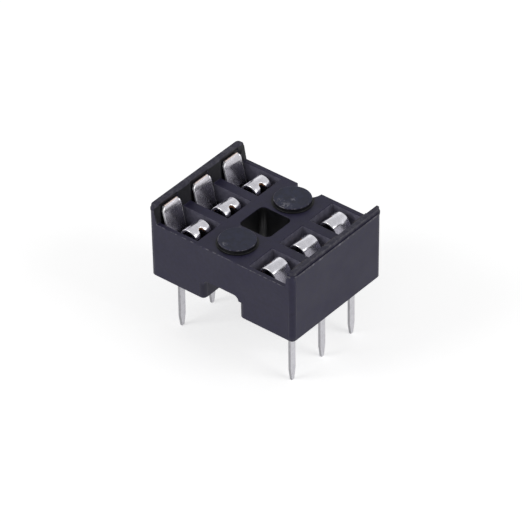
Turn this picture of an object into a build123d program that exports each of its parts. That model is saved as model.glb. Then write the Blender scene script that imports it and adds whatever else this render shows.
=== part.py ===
"""Six-way dual-in-line socket: one moulded housing and six stamped spring contacts.

Frame: X runs across the two rows, Y along them, Z up. The origin is the centre of the
contact grid on the plane where the housing sits on its board. The notched end is at +Y.
"""

import os
from math import cos, radians, sin, tan

from build123d import *

os.makedirs("parts", exist_ok=True)

# Contact grid
pitch = 2.54
row_spacing = 7.62
contacts_per_row = 3

# Housing, outside
end_margin = 1.26  # from the last contact's centre to the end face
side_margin = 1.12  # from a row's centre line to the side face
deck_height = 3.62
wall_height = 4.70  # top of the two side walls above the board
corner_radius = 0.35
wall_end_radius = 0.18  # seen from the side, at both ends of each wall's top
foot_edge_chamfer = 0.14
draft_angle = 0.55  # of the faces below the parting line
upper_set_back = 0.03  # of the faces above it
parting_height = 4.40  # where the two halves of the mould met
parting_proud = 0.06
parting_band = 0.12

# Side walls, seen from the end
wall_thickness = 0.57  # at the deck
wall_lean = 0.20  # how far the inner face leans out on its way up to the slope
wall_tip = 0.29  # from the side face in to the slope at the top
lead_in_drop = 0.15  # height of the slope that guides a device's leads

# Channel under the housing, open at both ends
channel_width = 2.36
channel_height = 1.42
channel_roof_radius = 0.30
foot_corner_radius = 0.34

# Middle of the deck
window_side = 2.06
window_corner_radius = 0.30
seat_pad_radius = 1.05
seat_pad_height = 0.25
seat_pad_spacing = 4.68
seat_pad_edge = 0.05
notch_radius = 0.80
notch_drop = 1.00

# Contact strip
strip_thickness = 0.15
hook_width = 1.25
hook_radius = 0.57  # outside of the curl
hook_height = 3.64
hook_reach = 1.13  # from the row's centre line in to the middle of the curl
hook_end_angle = 76.0  # from the crown down to the tines' ends
hook_notch_angle = 24.0  # from the crown to the round end of the notch
hook_notch_width = 0.32
hook_notch_mouth = 0.52
tine_corner_radius = 0.12
ramp_angle = 58.0  # below the horizontal, from the curl down to the knuckle
knuckle_height = 2.50  # where the inner leaf presses on a lead
leaf_width = 1.42
leaf_lean_start = 1.65
leaf_lean_top = 4.00
leaf_lean = 0.52  # how far the outer leaf leans out
lip_height = 4.44
lip_lean = 0.13
lip_width = 1.06
lip_shoulder_height = 0.25
bend_height = 0.95  # middle of the bottom bend
bend_radius = 0.31
crease_radius = 0.25
strap_slot_width = 0.60
strap_slot_top = 1.60
barb_height = 1.25
barb_length = 0.36

# Tail
tail_width = 0.46
tail_length = 3.60  # below the board plane
tail_tip_width = 0.22
tail_taper = 0.72

# Room left round a contact
cavity_side_clearance = 0.05
cavity_clearance = 0.14
tail_slot_clearance = 0.09
pocket_width = 1.96
pocket_inner_clearance = 0.36
pocket_floor = 2.00
wall_recess_depth = 0.10
wall_recess_width = 1.76
lip_clearance = 0.045
over_cut = 1.00

housing_length = (contacts_per_row - 1) * pitch + 2 * end_margin
housing_width = row_spacing + 2 * side_margin
wall_face = housing_width / 2 - wall_thickness
lead_in_foot = wall_height - lead_in_drop
row_x = row_spacing / 2
half_strip = strip_thickness / 2
contact_rows_y = [(index - (contacts_per_row - 1) / 2) * pitch for index in range(contacts_per_row)]

# Middle line of the strip, seen from the end of the row
curl_radius = hook_radius - half_strip
curl_x = row_x - hook_reach
curl_z = hook_height - hook_radius
ramp_top = (
    curl_x + curl_radius * sin(radians(ramp_angle)),
    curl_z + curl_radius * cos(radians(ramp_angle)),
)
knuckle_x = ramp_top[0] + (ramp_top[1] - knuckle_height) / tan(radians(ramp_angle))
leaf_x = row_x + leaf_lean
lip_x = leaf_x + lip_lean
bend_x = row_x - bend_radius
arm_x = row_x - 2 * bend_radius
tine_end = curl_z + hook_radius * cos(radians(hook_end_angle))


with BuildPart() as contact:
    # Outer leaf, from its lip down to the plate
    with BuildSketch(Plane.XZ):
        with BuildLine():
            FilletPolyline(
                (lip_x, lip_height),
                (leaf_x, leaf_lean_top),
                (row_x, leaf_lean_start),
                (row_x, bend_height),
                radius=crease_radius,
            )
        trace(line_width=strip_thickness)
    extrude(amount=leaf_width / 2, both=True)

    # The leaf narrows to its lip over two short shoulders
    with BuildSketch(Plane.YZ.offset(row_x - half_strip)):
        for side in (-1, 1):
            with BuildLine():
                Polyline(
                    (side * leaf_width / 2, lip_height - lip_shoulder_height),
                    (side * lip_width / 2, lip_height),
                    (side * lip_width / 2, lip_height + strip_thickness),
                    (side * leaf_width, lip_height + strip_thickness),
                    (side * leaf_width, lip_height - lip_shoulder_height),
                    close=True,
                )
            make_face()
    extrude(amount=over_cut, mode=Mode.SUBTRACT)

    # Bottom bend, inner arm, ramp and curl
    with BuildSketch(Plane.XZ):
        with BuildLine():
            CenterArc((bend_x, bend_height), bend_radius, 0, -180)
            FilletPolyline(
                (arm_x, bend_height), (knuckle_x, knuckle_height), ramp_top, radius=crease_radius
            )
            CenterArc((curl_x, curl_z), curl_radius, 90 - ramp_angle, ramp_angle + hook_end_angle)
        trace(line_width=strip_thickness)
    extrude(amount=hook_width / 2, both=True)

    # The notch in the end of the curl, with a round inner end and a wider mouth
    notch_end = curl_x - hook_radius * sin(radians(hook_notch_angle))
    notch_centre = notch_end - hook_notch_width / 2
    curl_end = curl_x - hook_radius
    with BuildSketch(Plane.XY.offset(tine_end - strip_thickness)):
        with Locations((notch_centre, 0)):
            Circle(hook_notch_width / 2)
        with BuildLine():
            Polyline(
                (notch_centre, hook_notch_width / 2),
                (curl_end, hook_notch_mouth / 2),
                (curl_end, -hook_notch_mouth / 2),
                (notch_centre, -hook_notch_width / 2),
                close=True,
            )
        make_face()
    extrude(amount=over_cut, mode=Mode.SUBTRACT)

    # The two tines have rounded ends
    tine_width = (hook_width - hook_notch_mouth) / 2
    with BuildSketch(Plane.YZ.offset(curl_x)):
        with Locations((0, tine_end + tine_corner_radius)):
            Rectangle(2 * hook_width, over_cut, align=(Align.CENTER, Align.MAX))
        with GridLocations(hook_width - tine_width, 0, 2, 1):
            with Locations((0, tine_end + tine_width / 2)):
                RectangleRounded(tine_width, tine_width, tine_corner_radius, mode=Mode.SUBTRACT)
    extrude(amount=-over_cut, mode=Mode.SUBTRACT)

    # The slot between the two straps of the bend, where the tail was cut free
    with BuildSketch(Plane.XY.offset(bend_height - bend_radius - half_strip)):
        with Locations((row_x + half_strip, 0)):
            Rectangle(
                2 * bend_radius + strip_thickness, strap_slot_width, align=(Align.MAX, Align.CENTER)
            )
    extrude(amount=bend_radius + half_strip, mode=Mode.SUBTRACT)
    with BuildSketch(Plane.XY.offset(bend_height)):
        with Locations((bend_x, 0)):
            Rectangle(bend_radius + half_strip, strap_slot_width, align=(Align.MAX, Align.CENTER))
    extrude(amount=strap_slot_top - bend_height, mode=Mode.SUBTRACT)

    # Barbs on both edges of the plate, which bite the cavity's sides
    with BuildSketch(Plane.YZ.offset(row_x - half_strip)):
        for side in (-1, 1):
            with BuildLine():
                Polyline(
                    (side * leaf_width / 2, barb_height),
                    (side * (leaf_width / 2 + cavity_side_clearance), barb_height + barb_length),
                    (side * leaf_width / 2, barb_height + barb_length),
                    (side * tail_width / 2, barb_height),
                    close=True,
                )
            make_face()
    extrude(amount=strip_thickness)

    # The tail, straight and tapered to a blunt tip
    with BuildSketch(Plane.YZ.offset(row_x - half_strip)):
        with BuildLine():
            Polyline(
                (-tail_width / 2, bend_height),
                (-tail_width / 2, tail_taper - tail_length),
                (-tail_tip_width / 2, -tail_length),
                (tail_tip_width / 2, -tail_length),
                (tail_width / 2, tail_taper - tail_length),
                (tail_width / 2, bend_height),
                close=True,
            )
        make_face()
    extrude(amount=strip_thickness)


with BuildPart() as housing:
    # Two feet with rounded corners and the block above them, drafted towards the board
    foot_top = channel_height - channel_roof_radius
    with BuildSketch(Plane.XY.offset(parting_height)):
        RectangleRounded(housing_width, housing_length, corner_radius)
    extrude(amount=-parting_height, taper=draft_angle)
    with BuildSketch(Plane.XY.offset(parting_height)):
        RectangleRounded(
            housing_width - 2 * upper_set_back,
            housing_length - 2 * upper_set_back,
            corner_radius - upper_set_back,
        )
    extrude(amount=wall_height - parting_height)
    with BuildSketch():
        Rectangle(channel_width, 2 * housing_length)
    extrude(amount=foot_top, mode=Mode.SUBTRACT)
    foot_corners = housing.edges().filter_by(Axis.Z, tolerance=2 * draft_angle).filter_by_position(
        Axis.X, -channel_width, channel_width
    )
    fillet(foot_corners, foot_corner_radius)
    with BuildSketch(Plane.XZ) as channel_roof:
        with Locations((0, foot_top)):
            Rectangle(channel_width, channel_roof_radius, align=(Align.CENTER, Align.MIN))
        fillet(channel_roof.vertices().group_by(Axis.Y)[-1], channel_roof_radius)
    extrude(amount=housing_length, both=True, mode=Mode.SUBTRACT)
    chamfer(housing.edges().group_by(Axis.Z)[0], foot_edge_chamfer)
    with BuildSketch(Plane.XY.offset(parting_height - parting_band / 2)):
        RectangleRounded(
            housing_width + 2 * parting_proud, housing_length, corner_radius + parting_proud
        )
    extrude(amount=parting_band)
    with BuildSketch(Plane.YZ) as side_outline:
        with Locations((0, wall_height / 2)):
            Rectangle(housing_length, wall_height)
        fillet(side_outline.vertices().group_by(Axis.Y)[-1], wall_end_radius)
    extrude(amount=housing_width, both=True, mode=Mode.INTERSECT)

    # Space between the walls, with a slope at the top of each to lead a device in
    with BuildSketch(Plane.XZ):
        with BuildLine():
            Polyline(
                (-wall_face, deck_height),
                (wall_face, deck_height),
                (wall_face + wall_lean, lead_in_foot),
                (housing_width / 2 - wall_tip, wall_height),
                (housing_width / 2 - wall_tip, wall_height + over_cut),
                (wall_tip - housing_width / 2, wall_height + over_cut),
                (wall_tip - housing_width / 2, wall_height),
                (-wall_face - wall_lean, lead_in_foot),
                close=True,
            )
        make_face()
    extrude(amount=housing_length, both=True, mode=Mode.SUBTRACT)

    # Half-round notch at the marked end, cut down beside the column of the pad next to it
    with BuildSketch(Plane.XY.offset(deck_height - notch_drop)):
        with Locations((0, housing_length / 2)):
            Circle(notch_radius)
    extrude(amount=wall_height, mode=Mode.SUBTRACT)

    # Two round pads that a device rests on
    with BuildSketch(Plane.XY.offset(deck_height - notch_drop)):
        with GridLocations(0, seat_pad_spacing, 1, 2):
            Circle(seat_pad_radius)
    extrude(amount=notch_drop + seat_pad_height)
    pad_rims = (
        housing.edges()
        .filter_by(GeomType.CIRCLE)
        .filter_by_position(Axis.X, -seat_pad_radius, seat_pad_radius)
        .filter_by_position(
            Axis.Z, deck_height + seat_pad_height / 2, deck_height + seat_pad_height * 3 / 2
        )
    )
    fillet(pad_rims, seat_pad_edge)

    # Window through the deck into the channel
    with BuildSketch(Plane.XY.offset(channel_height / 2)):
        RectangleRounded(window_side, window_side, window_corner_radius)
    extrude(amount=wall_height, mode=Mode.SUBTRACT)

    # One pocket, cavity and tail slot for each contact, turned round for the second row
    pocket_inner = curl_end - pocket_inner_clearance
    recess_face = wall_face + wall_recess_depth
    cavity_inner = arm_x - half_strip - cavity_clearance
    cavity_outer = row_x + half_strip + cavity_clearance
    cavity_floor = bend_height - bend_radius - half_strip
    lip_relief_face = lip_x + half_strip + lip_clearance
    lip_relief_width = leaf_width + 2 * cavity_side_clearance
    for turn in (0, 180):
        for y in contact_rows_y:
            with BuildSketch(Plane.XY.offset(pocket_floor).rotated((0, 0, turn))):
                with Locations((pocket_inner, y)):
                    Rectangle(wall_face - pocket_inner, pocket_width, align=(Align.MIN, Align.CENTER))
                with Locations((wall_face, y)):
                    Rectangle(2 * wall_recess_depth, wall_recess_width)
            extrude(amount=wall_height, mode=Mode.SUBTRACT)

            # A slanted relief in the wall behind the lip
            with BuildSketch(Plane.XZ.offset(-y).rotated((0, 0, turn))):
                with BuildLine():
                    Polyline(
                        (wall_face, deck_height),
                        (recess_face, deck_height),
                        (lip_relief_face, lip_height),
                        (lip_relief_face, wall_height),
                        (wall_face, wall_height),
                        close=True,
                    )
                make_face()
            extrude(amount=lip_relief_width / 2, both=True, mode=Mode.SUBTRACT)

            with BuildSketch(Plane.XY.offset(cavity_floor).rotated((0, 0, turn))):
                with Locations((cavity_inner, y)):
                    Rectangle(
                        cavity_outer - cavity_inner,
                        leaf_width + 2 * cavity_side_clearance,
                        align=(Align.MIN, Align.CENTER),
                    )
            extrude(amount=pocket_floor - cavity_floor, mode=Mode.SUBTRACT)
            with BuildSketch(Plane.XY.rotated((0, 0, turn))):
                with Locations((row_x, y)):
                    Rectangle(
                        strip_thickness + 2 * tail_slot_clearance, tail_width + 2 * tail_slot_clearance
                    )
            extrude(amount=cavity_floor, mode=Mode.SUBTRACT)

housing.part.label = "housing"
export_step(housing.part, "parts/housing.step")

# Contacts are numbered round the socket from the left of the notch, as a device's leads are
contact_places = [(180, y) for y in reversed(contact_rows_y)] + [(0, y) for y in contact_rows_y]
for number, (turn, y) in enumerate(contact_places, start=1):
    with BuildPart() as placed_contact:
        with Locations(Location((0, y, 0), (0, 0, turn))):
            add(contact.part)
    placed_contact.part.label = f"contact_{number}"
    export_step(placed_contact.part, f"parts/contact_{number}.step")
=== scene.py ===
from math import cos, radians, sin

import bmesh
import bpy
import numpy as np
from mathutils import Matrix, Vector


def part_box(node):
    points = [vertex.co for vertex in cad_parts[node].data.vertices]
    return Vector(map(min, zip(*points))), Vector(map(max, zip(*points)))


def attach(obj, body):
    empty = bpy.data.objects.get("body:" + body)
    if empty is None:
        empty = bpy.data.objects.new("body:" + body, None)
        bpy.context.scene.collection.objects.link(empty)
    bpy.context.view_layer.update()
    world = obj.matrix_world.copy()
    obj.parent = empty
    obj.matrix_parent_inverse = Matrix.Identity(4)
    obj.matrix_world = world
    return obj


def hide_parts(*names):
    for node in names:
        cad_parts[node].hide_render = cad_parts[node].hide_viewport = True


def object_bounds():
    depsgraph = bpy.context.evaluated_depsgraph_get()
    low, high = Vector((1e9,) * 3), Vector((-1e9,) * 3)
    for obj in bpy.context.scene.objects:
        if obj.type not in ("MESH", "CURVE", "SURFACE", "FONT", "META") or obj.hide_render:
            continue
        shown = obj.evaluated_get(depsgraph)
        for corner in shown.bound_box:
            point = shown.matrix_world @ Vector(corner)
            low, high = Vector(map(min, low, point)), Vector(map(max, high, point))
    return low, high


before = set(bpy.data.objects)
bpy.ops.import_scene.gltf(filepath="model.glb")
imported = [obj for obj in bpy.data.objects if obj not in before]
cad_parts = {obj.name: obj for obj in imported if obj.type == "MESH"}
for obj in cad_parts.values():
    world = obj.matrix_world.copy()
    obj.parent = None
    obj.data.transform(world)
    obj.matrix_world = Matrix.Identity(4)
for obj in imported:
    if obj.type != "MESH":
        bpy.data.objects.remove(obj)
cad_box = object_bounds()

MM = 0.001

# The housing's outline comes from the frame, in millimetres
HALF_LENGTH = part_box("housing")[1].y / MM
WALL_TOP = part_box("housing")[1].z / MM
TAIL_TIP = cad_box[0][2] / MM

# Other heights and places are taken over from the part, in millimetres
DECK = 3.62
PARTING = 4.40
PARTING_HALF = 0.08
PARTING_CLEAR = 0.07
HALF_WIDTH = 4.93
WALL_FACE = 4.36
WALL_LEAN = 0.20
WALL_TIP = 0.29
LEAD_IN_DROP = 0.15
WALL_INNER_SPAN = (WALL_FACE - 0.06, WALL_FACE + 0.30)
WALL_END = 0.4
WINDOW_HALF = 1.03
POCKET_INNER = 1.75
POCKET_FLOOR = 2.00
CHANNEL = (1.6, 1.6)
FOOT_EDGE = 0.12
PAD_PLACES = (-2.34, 2.34)
PAD_RADIUS = 1.05
PAD_TOP = DECK + 0.25
PITCH = 2.54
CURL_PLACE = (2.68, 3.07)
CURL_DROP = 0.3
CURL_OUTSIDE = 0.57
CURL_INSIDE = CURL_OUTSIDE - 0.15
TINES_HALF = 0.55
LEAF_PLACE = CURL_PLACE[0] + 1
LEAF_MIDDLE = 0.2
LIP_HEIGHT = 4.44
# How far below the lip tops the second row's painted shade and the first row's bright ends reach
SHADED_LIP = 0.3
BRIGHT_LIP = 0.08
TAIL_FROM = 0.3

# How far from such a place a face is still taken to lie on it, in millimetres
SKIM = 0.002
TOUCH = 0.01
HAIR = 0.02
SKIN = 0.03
NEAR = 0.05
INSET = 0.10

# How far a face is turned a given way, as that part of its normal
BARELY = 0.1
PARTLY = 0.3
HALFWAY = 0.5
SQUARELY = 0.9

# Size of the rounding that moulding and shearing leave on sharp edges, in millimetres and degrees
HOUSING_EDGE = 0.03
CONTACT_EDGE = 0.035
SHARP_FROM = 50
CREASED_FROM = 40
JOINED_BELOW = 0.3
MERGED_WITHIN = 0.0005
LARGE_FLAT = 0.8

PLASTIC_IOR = 1.38  # a glass-filled skin reflects a little less than clear resin

# Places (x, y, z, radius), in millimetres, where the photograph shows the moulding scuffed
DECK_MARKS = (
    (0.15, 1.50, 3.87, 0.42), (-0.35, 1.68, 3.87, 0.30), (0.14, 2.25, 3.87, 0.20), (-0.27, -3.10, 3.87, 0.22),
)
EDGE_MARKS = (
    (-4.60, -3.80, 3.60, 0.35), (-4.00, -3.80, 3.60, 0.30), (3.10, -3.80, 3.60, 0.40),
    (3.95, -3.80, 3.60, 0.40), (4.75, -3.75, 4.60, 0.40),
)
RIDGE_MARKS = ((4.99, -1.60, 4.40, 0.16), (4.99, -2.15, 4.40, 0.14), (4.99, 0.10, 4.40, 0.14))


# Shader helpers
def linear(colour):
    """Scene-linear RGBA of an sRGB colour written as six hex digits."""
    srgb = np.array([int(colour[i:i + 2], 16) / 255 for i in (0, 2, 4)])
    light = np.where(srgb <= 0.04045, srgb / 12.92, ((srgb + 0.055) / 1.055) ** 2.4)
    return (*light.tolist(), 1.0)


def add_node(tree, kind, inputs=None, **attributes):
    """Adds a shader node. Attributes go on the node. Each input, by its name or number, takes a value or is
    joined to another node's output."""
    node = tree.nodes.new(kind)
    for name, value in attributes.items():
        setattr(node, name, value)
    for name, value in (inputs or {}).items():
        if isinstance(value, bpy.types.NodeSocket):
            tree.links.new(value, node.inputs[name])
        else:
            node.inputs[name].default_value = value
    return node


def new_material(name):
    """A material with an empty node tree, and the place on the piece that its patterns follow."""
    material = bpy.data.materials.new(name)
    material.use_nodes = True
    tree = material.node_tree
    tree.nodes.clear()
    return material, tree, add_node(tree, "ShaderNodeTexCoord").outputs["Object"]


def blotches(tree, place, size, span, reach=(0.0, 1.0), detail=3.0, roughness=0.5):
    """Cloudy pattern: noise whose blotches are about size millimetres across, where the part of it in span
    is stretched over reach and the rest is held at its ends."""
    noise = add_node(tree, "ShaderNodeTexNoise", {
        "Vector": place, "Scale": 1 / (size * MM), "Detail": detail, "Roughness": roughness,
    })
    return add_node(tree, "ShaderNodeMapRange", {
        "Value": noise.outputs["Fac"], "From Min": span[0], "From Max": span[1],
        "To Min": reach[0], "To Max": reach[1],
    }).outputs["Result"]


def height_fade(tree, place, low, high, at_low, at_high):
    """Goes from at_low to at_high between two heights in millimetres."""
    height = add_node(tree, "ShaderNodeSeparateXYZ", {"Vector": place}).outputs["Z"]
    return add_node(tree, "ShaderNodeMapRange", {
        "Value": height, "From Min": low * MM, "From Max": high * MM, "To Min": at_low, "To Max": at_high,
    }).outputs["Result"]


def spots(tree, place, marks):
    """1 at the middle of each mark (x, y, z, radius in millimetres), falling to 0 at its radius. Where marks
    overlap, the strongest counts."""
    strongest = None
    for x, y, z, radius in marks:
        gap = add_node(
            tree, "ShaderNodeVectorMath", {0: place, 1: (x * MM, y * MM, z * MM)}, operation="DISTANCE"
        )
        near = add_node(tree, "ShaderNodeMapRange", {
            "Value": gap.outputs["Value"], "From Min": radius * 0.4 * MM, "From Max": radius * MM,
            "To Min": 1.0, "To Max": 0.0,
        }).outputs["Result"]
        if strongest is None:
            strongest = near
        else:
            strongest = add_node(
                tree, "ShaderNodeMath", {0: strongest, 1: near}, operation="MAXIMUM"
            ).outputs[0]
    return strongest


def layered(tree, base, layers):
    """A base colour with layers over it, each an amount from 0 to 1 and its colour, the last one on top."""
    colour = linear(base)
    for amount, over in layers:
        mix = add_node(tree, "ShaderNodeMix", {0: amount, 6: colour, 7: linear(over)}, data_type="RGBA")
        colour = mix.outputs[2]
    return colour


# Materials
def moulded_plastic(
    name, colours=("201d35", "29263f"), rubbed=0.0, marks=(), painted_shade_heights=None, shadowed_pad_feet=False, waves=0.0,
):
    """Black glass-filled thermoplastic, injection moulded: the skin is resin-rich and satin, a cool
    near-black with a slight violet cast. Short fibres near the skin mottle it finely, the melt's flow
    changes its gloss slowly, and handling in bulk rubs its edges and marks grey. Where deep is given, as a
    pair of heights in millimetres, the colour falls to black from the upper height to the lower: painted
    shade lower down. Where ringed is set, a dark ring is painted round each pad's foot: painted shadow
    where the pad meets the deck. Waves is the height, in millimetres, of the ripples that the mould's worn
    edge leaves."""
    material, tree, place = new_material(name)
    # The fibres are 0.2 to 0.3 mm long. The tool's eroded grain, about 0.02 mm, is drawn at twice its
    # size so that it shows.
    fibres, flow, erosion = 0.25, 1.6, 0.045
    layers = [(blotches(tree, place, fibres, (0.35, 0.65), detail=4), colours[1])]
    if painted_shade_heights:
        # Painted shade: the colour goes to black lower down
        layers.append((height_fade(tree, place, *painted_shade_heights, 1.0, 0.0), "050508"))
    if rubbed:
        layers.append((blotches(tree, place, 0.35, (0.48, 0.66), (0.0, rubbed), 4, 0.6), "8a8890"))
    if marks:
        scuffs = blotches(tree, place, 0.14, (0.46, 0.60), (0.0, 0.45), 3, 0.6)
        amount = add_node(
            tree, "ShaderNodeMath", {0: spots(tree, place, marks), 1: scuffs}, operation="MULTIPLY"
        )
        layers.append((amount.outputs[0], "9c9ba6"))
    if shadowed_pad_feet:
        # Painted shadow: a dark ring round each pad's foot
        feet = [(0, along, DECK, PAD_RADIUS + 0.20) for along in PAD_PLACES]
        ring = add_node(tree, "ShaderNodeMapRange", {
            "Value": spots(tree, place, feet), "From Min": 0.08, "From Max": 0.16,
        })
        layers.append((ring.outputs["Result"], "050508"))
    satin = add_node(tree, "ShaderNodeMath", {
        0: blotches(tree, place, flow, (0.3, 0.7), (0.40, 0.50), 2),
        1: blotches(tree, place, fibres, (0.3, 0.7), (-0.04, 0.06), 4),
    }, operation="ADD")
    surface = add_node(tree, "ShaderNodeBump", {
        "Strength": 0.2, "Distance": 0.003 * MM,
        "Height": blotches(tree, place, erosion, (0.0, 1.0), detail=2),
    })
    if waves:
        surface = add_node(tree, "ShaderNodeBump", {
            "Strength": 1.0, "Distance": waves * MM, "Normal": surface.outputs["Normal"],
            "Height": blotches(tree, place, 0.45, (0.0, 1.0), detail=2),
        })
    shade = add_node(tree, "ShaderNodeBsdfPrincipled", {
        "Base Color": layered(tree, colours[0], layers), "IOR": PLASTIC_IOR,
        "Roughness": satin.outputs[0], "Normal": surface.outputs["Normal"],
    })
    add_node(tree, "ShaderNodeOutputMaterial", {"Surface": shade.outputs["BSDF"]})
    return material


def tin_plate(name, colours, roughness, tails=None):
    """Tin plated over rolled phosphor bronze strip: bright and slightly violet, with fine lines that the
    rolls leave along the strip, and scuffed in patches where the stamping tool and the feed track touched
    the soft plating. Where tails is given, as a pair of colours, the strip takes them below the board
    plane, so it is that much greyer there."""
    material, tree, place = new_material(name)
    # Rolling lines are about 0.01 mm wide, and are drawn at 0.05 mm so that they show
    along_strip = add_node(tree, "ShaderNodeMapping", {"Vector": place, "Scale": (0.12, 1.0, 0.12)})
    lines = along_strip.outputs["Vector"]
    line_width, scuff = 0.05, 0.22
    worn = blotches(tree, place, scuff, (0.35, 0.70), detail=4, roughness=0.6)
    tone = layered(tree, colours[0], [(worn, colours[1])])
    if tails:
        tone = add_node(tree, "ShaderNodeMix", {
            0: height_fade(tree, place, 0.0, 0.2, 0.0, 1.0),
            6: layered(tree, tails[0], [(worn, tails[1])]), 7: tone,
        }, data_type="RGBA").outputs[2]
    dulling = add_node(tree, "ShaderNodeMath", {
        0: blotches(tree, place, scuff, (0.3, 0.7), roughness, 4, 0.6),
        1: blotches(tree, lines, line_width, (0.3, 0.7), (-0.04, 0.06), 2),
    }, operation="ADD")
    relief = add_node(tree, "ShaderNodeMath", {
        0: blotches(tree, lines, line_width, (0.0, 1.0), (0.0, 0.5), 2),
        1: blotches(tree, place, scuff, (0.0, 1.0), (0.0, 1.0), 4, 0.6),
    }, operation="ADD")
    surface = add_node(tree, "ShaderNodeBump", {
        "Strength": 0.07, "Distance": 0.003 * MM, "Height": relief.outputs[0],
    })
    shade = add_node(tree, "ShaderNodeBsdfPrincipled", {
        "Base Color": tone, "Metallic": 1.0, "Roughness": dulling.outputs[0],
        "Normal": surface.outputs["Normal"],
    })
    add_node(tree, "ShaderNodeOutputMaterial", {"Surface": shade.outputs["BSDF"]})
    return material


def cut_bronze(name):
    """Phosphor bronze where the strip was cropped after plating: bare, coppery and dull, with tin
    smeared over the start of the cut."""
    material, tree, place = new_material(name)
    smear = 0.06
    shade = add_node(tree, "ShaderNodeBsdfPrincipled", {
        "Base Color": layered(tree, "b87a4a", [(blotches(tree, place, smear, (0.42, 0.62)), "e8b88a")]),
        "Metallic": 1.0, "Roughness": blotches(tree, place, smear, (0.3, 0.7), (0.5, 0.7)),
    })
    add_node(tree, "ShaderNodeOutputMaterial", {"Surface": shade.outputs["BSDF"]})
    return material


# Finished copies of the CAD pieces
def keep_flats_flat(mesh):
    """The corner normals of every large face follow the face itself, so that rounded edges don't bend the
    shading of the flat faces beside them."""
    faces = mesh.polygons
    corner_normals = np.empty(3 * len(mesh.loops))
    face_normals = np.empty(3 * len(faces))
    corners = np.empty(len(faces), dtype=np.int32)
    areas = np.empty(len(faces))
    mesh.corner_normals.foreach_get("vector", corner_normals)
    faces.foreach_get("normal", face_normals)
    faces.foreach_get("loop_total", corners)
    faces.foreach_get("area", areas)
    large = np.repeat(areas > LARGE_FLAT * MM * MM, corners)
    own = np.repeat(face_normals.reshape(-1, 3), corners, axis=0)
    mesh.normals_split_custom_set(np.where(large[:, None], own, corner_normals.reshape(-1, 3)))


def edged_copy(node, width, keeps_size=None):
    """A merged copy of a CAD piece, its flat facets joined, and its sharp edges rounded over by width
    millimetres, except those that keep their size. The rounded faces take the second material slot."""
    mesh = bpy.data.meshes.new(node.name + "_skin")
    form = bmesh.new()
    form.from_mesh(node.data)
    bmesh.ops.remove_doubles(form, verts=form.verts, dist=MERGED_WITHIN * MM)
    bmesh.ops.dissolve_limit(form, angle_limit=radians(JOINED_BELOW), verts=form.verts, edges=form.edges)
    edges = [edge for edge in form.edges if edge.is_manifold and edge.calc_face_angle(0) > radians(SHARP_FROM)]
    if keeps_size:
        edges = [edge for edge in edges if not keeps_size([vert.co / MM for vert in edge.verts])]
    bmesh.ops.bevel(
        form, geom=edges, offset=width * MM, offset_type="OFFSET", segments=2, profile=0.5,
        affect="EDGES", clamp_overlap=False, material=1,
    )
    form.to_mesh(mesh)
    form.free()
    mesh.shade_smooth()
    mesh.set_sharp_from_angle(angle=radians(CREASED_FROM))
    keep_flats_flat(mesh)
    piece = bpy.data.objects.new(node.name + "_skin", mesh)
    bpy.context.collection.objects.link(piece)
    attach(piece, "root")
    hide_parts(node.name)
    return piece


def face_places(mesh):
    """Centres and normals of a mesh's faces, in millimetres and as unit vectors, and their slots."""
    count = len(mesh.polygons)
    centres, normals, slots = np.empty(3 * count), np.empty(3 * count), np.empty(count, dtype=np.int32)
    mesh.polygons.foreach_get("center", centres)
    mesh.polygons.foreach_get("normal", normals)
    mesh.polygons.foreach_get("material_index", slots)
    return centres.reshape(-1, 3) / MM, normals.reshape(-1, 3), slots


def paint(piece, slots, choices, materials):
    """Gives the piece its materials, and the faces in each mask the slot paired with it, later ones last."""
    for slot, mask in choices:
        slots[mask] = slot
    piece.data.polygons.foreach_set("material_index", slots)
    for material in materials:
        piece.data.materials.append(material)


def small_moulding_edges(ends):
    """The parting ridge, the pads' own small radii, the feet, the channel and the walls' inner faces and
    rounded ends keep their size."""
    inside_wall = all(
        WALL_INNER_SPAN[0] < abs(end.x) < WALL_INNER_SPAN[1]
        and DECK + HAIR < end.z < WALL_TOP - HAIR for end in ends
    )
    near_ridge = all(abs(end.z - PARTING) < PARTING_HALF for end in ends)
    near_foot = all(end.z < FOOT_EDGE for end in ends)
    at_channel = all(abs(end.x) < CHANNEL[0] and end.z < CHANNEL[1] for end in ends)
    at_wall_end = all(abs(end.y) > HALF_LENGTH - WALL_END and end.z > DECK + INSET for end in ends)
    on_pad = all(
        end.z > DECK + NEAR and abs(end.x) < PAD_RADIUS + INSET
        and min(abs(end.y - place) for place in PAD_PLACES) < PAD_RADIUS + INSET for end in ends
    )
    return inside_wall or near_ridge or near_foot or at_channel or at_wall_end or on_pad


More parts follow.
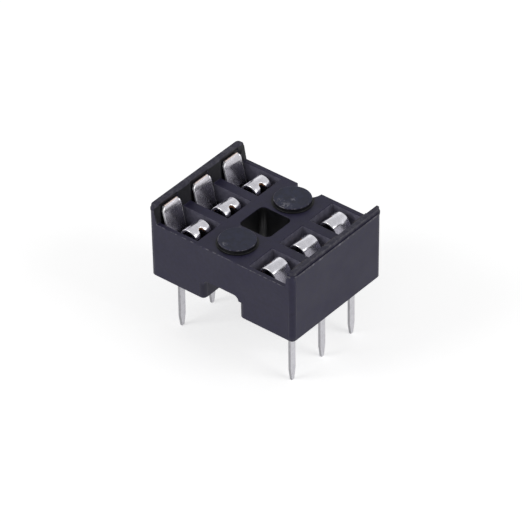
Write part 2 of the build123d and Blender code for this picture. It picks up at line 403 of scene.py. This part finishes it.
def dress_housing():
    """The housing's copy, with each face's finish chosen by where the face lies and how it is turned."""
    housing = edged_copy(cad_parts["housing"], HOUSING_EDGE, small_moulding_edges)
    centres, normals, slots = face_places(housing.data)
    across, along, height = np.abs(centres[:, 0]), np.abs(centres[:, 1]), centres[:, 2]
    upright = np.abs(normals[:, 2]) < PARTLY
    outwards = normals[:, 0] * np.sign(centres[:, 0])
    between_ends = along < HALF_LENGTH - INSET
    over_pad = across < PAD_RADIUS + NEAR

    inner_edge = ~upright & (across < WALL_FACE) & between_ends
    # The pocket walls take a light grey on their upper part, painted light, fading to black lower down,
    # painted shade
    in_pocket = (
        upright & (across > POCKET_INNER - NEAR) & (across < WALL_FACE) & between_ends
        & (height > POCKET_FLOOR) & (height < DECK)
    )
    in_window = upright & (across < WINDOW_HALF + NEAR) & (along < WINDOW_HALF + NEAR)
    pad_side = upright & over_pad & (height > DECK + TOUCH)
    pad_top = ~upright & over_pad & (height > DECK + INSET)
    pad_rim = pad_top & (height < PAD_TOP - SKIM)
    ridge = (np.abs(height - PARTING) < PARTING_HALF) & (
        (across > HALF_WIDTH - HAIR) | (along > HALF_LENGTH - NEAR)
    )
    inside_wall = (
        (np.abs(normals[:, 0]) > SQUARELY) & (across > WALL_FACE - HAIR) & (across < HALF_WIDTH - WALL_TIP)
    )
    wall_top = (height > WALL_TOP - LEAD_IN_DROP - NEAR) & (normals[:, 2] > PARTLY)
    outer_slope = (
        (height > PARTING + PARTING_CLEAR) & (across > WALL_FACE + WALL_LEAN) & (outwards > PARTLY)
    )

    paint(housing, slots, (
        (0, inner_edge), (2, in_pocket), (3, in_window | pad_side), (4, ridge), (5, pad_top), (1, pad_rim),
        (6, inside_wall), (7, wall_top), (8, outer_slope),
    ), (
        # The main moulding carries the painted shadow round the pads' feet
        moulded_plastic("housing black moulding", shadowed_pad_feet=True),
        moulded_plastic("housing rubbed edges", rubbed=0.7, marks=EDGE_MARKS),
        # Pocket walls: light grey near the top as painted light, black lower down as painted shade
        moulded_plastic("housing pocket walls with painted light and shade", ("686676", "7a7888"), painted_shade_heights=(DECK - 1.35, DECK - 0.95)),
        moulded_plastic("housing shaded window and pad sides", ("060608", "0b0b10")),
        moulded_plastic("housing parting ridge", ("302e3c", "3c3a48"), rubbed=0.5, marks=RIDGE_MARKS),
        moulded_plastic("housing pad tops", ("1a1c30", "272a42"), marks=DECK_MARKS),
        moulded_plastic("housing shaded wall faces", ("141418", "1b1b20")),
        moulded_plastic("housing flashed wall tops", ("262435", "302e3f"), rubbed=0.2, waves=0.05),
        moulded_plastic("housing worn outer wall edges", ("312f3c", "3d3b49"), rubbed=0.25, waves=0.05),
    ))


def dress_contacts():
    """The contacts' copies. The lips of the second row, contacts 4 to 6, take a dull, dark copy of the tin as
    painted shade: the photograph shows them dark, and those of the first row bright."""
    finishes = (
        tin_plate("contact tin plate", ("f2f1f8", "dcdbe2"), (0.17, 0.27), tails=("d8d7dc", "cecdd2")),
        tin_plate("contact sheared rims", ("f4f3f5", "e2e1e4"), (0.18, 0.30)),
        cut_bronze("contact cropped ends"),
        tin_plate("contact leaf faces with painted shade", ("cac8ce", "bebcc2"), (0.19, 0.25)),
        tin_plate("contact dull lips with painted shade", ("5a5656", "423e3e"), (0.45, 0.60)),
        tin_plate("contact sheared leaf sides", ("fafafc", "e8e8ec"), (0.50, 0.65)),
        tin_plate("contact bright lip ends", ("fff0ea", "f6dcd2"), (0.20, 0.30)),
        tin_plate("contact sheared tail rims", ("b0afb3", "a1a0a4"), (0.35, 0.45)),
    )
    for number in range(1, 7):
        contact = edged_copy(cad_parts[f"contact_{number}"], CONTACT_EDGE)
        centres, normals, slots = face_places(contact.data)
        across, height = np.abs(centres[:, 0]), centres[:, 2]
        middle = PITCH * np.round(centres[:, 1].mean() / PITCH)
        aside = np.abs(centres[:, 1] - middle)
        radius = np.hypot(across - CURL_PLACE[0], height - CURL_PLACE[1])
        turned_along = np.abs(normals[:, 1])

        sheared = slots == 1
        tail_rim = (height < TAIL_FROM) & (sheared | (np.abs(normals[:, 0]) < HALFWAY))
        cropped = (
            (radius > CURL_INSIDE + SKIN) & (radius < CURL_OUTSIDE - SKIN)
            & (aside < TINES_HALF) & (across < CURL_PLACE[0])
        )
        inside_curl = (radius < CURL_INSIDE + HAIR) & (height > CURL_PLACE[1] - CURL_DROP)
        in_leaf = (across > LEAF_PLACE) & (height > POCKET_FLOOR)
        # The flat middle of each leaf's faces takes a greyer copy of the tin: painted shade
        leaf_face = in_leaf & (turned_along < BARELY) & (normals[:, 2] < HALFWAY) & (aside < LEAF_MIDDLE)
        leaf_side = in_leaf & (turned_along > PARTLY)
        # The second row's lips take the dark copy of the tin: painted shade
        lip_slot, lip_depth = (4, SHADED_LIP) if number > 3 else (6, BRIGHT_LIP)
        lip_end = height > LIP_HEIGHT - lip_depth

        paint(contact, slots, (
            (7, tail_rim), (2, cropped | inside_curl), (3, leaf_face), (5, leaf_side), (lip_slot, lip_end),
        ), finishes)


# Camera and studio
def place_camera():
    """The photograph's camera: long lens, 265 mm off, about 40 degrees round and 37 degrees up."""
    azimuth, elevation, roll = radians(39.531), radians(37.379), radians(-0.776)
    distance, aside, above = 265.24, -0.209, -0.003
    target = Vector((0, 0, 1.0))
    picture, focal_length, middle_offset, film = 522, 4957.34, -0.85, 36
    away = Vector((sin(azimuth) * cos(elevation), -cos(azimuth) * cos(elevation), sin(elevation)))
    right = Vector((cos(azimuth), sin(azimuth), 0))
    up = right.cross(-away)
    tilted_right = right * cos(roll) + up * sin(roll)
    tilted_up = -right * sin(roll) + up * cos(roll)
    place = target + away * distance + tilted_right * aside + tilted_up * above
    data = bpy.data.cameras.new("camera")
    data.sensor_width = film
    data.lens = focal_length / picture * film
    data.shift_x = middle_offset / picture
    data.clip_start = 0.01
    camera = bpy.data.objects.new("camera", data)
    turn = Matrix((tilted_right, tilted_up, away)).transposed().to_4x4()
    camera.matrix_world = Matrix.Translation(place * MM) @ turn
    bpy.context.collection.objects.link(camera)
    bpy.context.scene.camera = camera


def soft_lamp(name, place, size, power):
    """A square soft lamp at place, turned to the object. Its place and side are in millimetres, and its
    power in watts."""
    data = bpy.data.lights.new(name, "AREA")
    data.shape = "SQUARE"
    data.size = size * MM
    data.energy = power
    lamp = bpy.data.objects.new(name, data)
    lamp.location = Vector(place) * MM
    lamp.rotation_euler = (Vector((0, 0, 2)) - Vector(place)).to_track_quat("-Z", "Y").to_euler()
    bpy.context.collection.objects.link(lamp)


def white_studio():
    """A white room: pure white to the camera, pale near the horizon in reflections and greyer overhead."""
    world = bpy.data.worlds.new("studio")
    world.use_nodes = True
    tree = world.node_tree
    tree.nodes.clear()
    direction = add_node(tree, "ShaderNodeTexCoord").outputs["Generated"]
    path = add_node(tree, "ShaderNodeLightPath").outputs
    upwards = add_node(tree, "ShaderNodeSeparateXYZ", {"Vector": direction}).outputs["Z"]
    overhead = add_node(tree, "ShaderNodeMapRange", {
        "Value": upwards, "From Min": 0.25, "From Max": 0.65, "To Min": 1.25, "To Max": 0.80,
    })
    mirrored = add_node(
        tree, "ShaderNodeMath", {0: path["Is Glossy Ray"], 1: path["Is Transmission Ray"]}, operation="MAXIMUM"
    )
    lit = add_node(tree, "ShaderNodeBackground", {"Strength": 0.45})
    seen_in_gloss = add_node(tree, "ShaderNodeBackground", {"Strength": overhead.outputs["Result"]})
    pure = add_node(tree, "ShaderNodeBackground", {"Strength": 1.0})
    room = add_node(tree, "ShaderNodeMixShader", {
        0: mirrored.outputs[0], 1: lit.outputs[0], 2: seen_in_gloss.outputs[0],
    })
    whole = add_node(tree, "ShaderNodeMixShader", {
        0: path["Is Camera Ray"], 1: room.outputs[0], 2: pure.outputs[0],
    })
    add_node(tree, "ShaderNodeOutputWorld", {"Surface": whole.outputs[0]})
    bpy.context.scene.world = world


def pale_floor():
    """Matt white paper under the tails' tips. To the camera and in reflections it glows a little, as overlit
    paper does, and keeps the object's soft shadow."""
    bpy.ops.mesh.primitive_plane_add(size=3, location=(0, 0, TAIL_TIP * MM))
    floor = bpy.context.object
    floor.name = "floor"
    material, tree, _ = new_material("floor paper")
    path = add_node(tree, "ShaderNodeLightPath").outputs
    paper = add_node(tree, "ShaderNodeBsdfDiffuse", {"Color": linear("f2f2f2")})
    strength = add_node(tree, "ShaderNodeMapRange", {
        "Value": path["Is Camera Ray"], "To Min": 0.44, "To Max": 0.55,
    })
    glow = add_node(tree, "ShaderNodeEmission", {"Strength": strength.outputs["Result"]})
    overlit = add_node(tree, "ShaderNodeAddShader", {0: paper.outputs[0], 1: glow.outputs[0]})
    seen = add_node(
        tree, "ShaderNodeMath", {0: path["Is Camera Ray"], 1: path["Is Glossy Ray"]}, operation="MAXIMUM"
    )
    whole = add_node(tree, "ShaderNodeMixShader", {
        0: seen.outputs[0], 1: paper.outputs[0], 2: overlit.outputs[0],
    })
    add_node(tree, "ShaderNodeOutputMaterial", {"Surface": whole.outputs[0]})
    floor.data.materials.append(material)


dress_housing()
dress_contacts()
place_camera()
white_studio()
pale_floor()
soft_lamp("front softbox", (-110, -190, 130), 120, 0.16)
soft_lamp("right softbox", (190, 40, 120), 120, 0.12)

bpy.context.scene.view_settings.view_transform = "Standard"
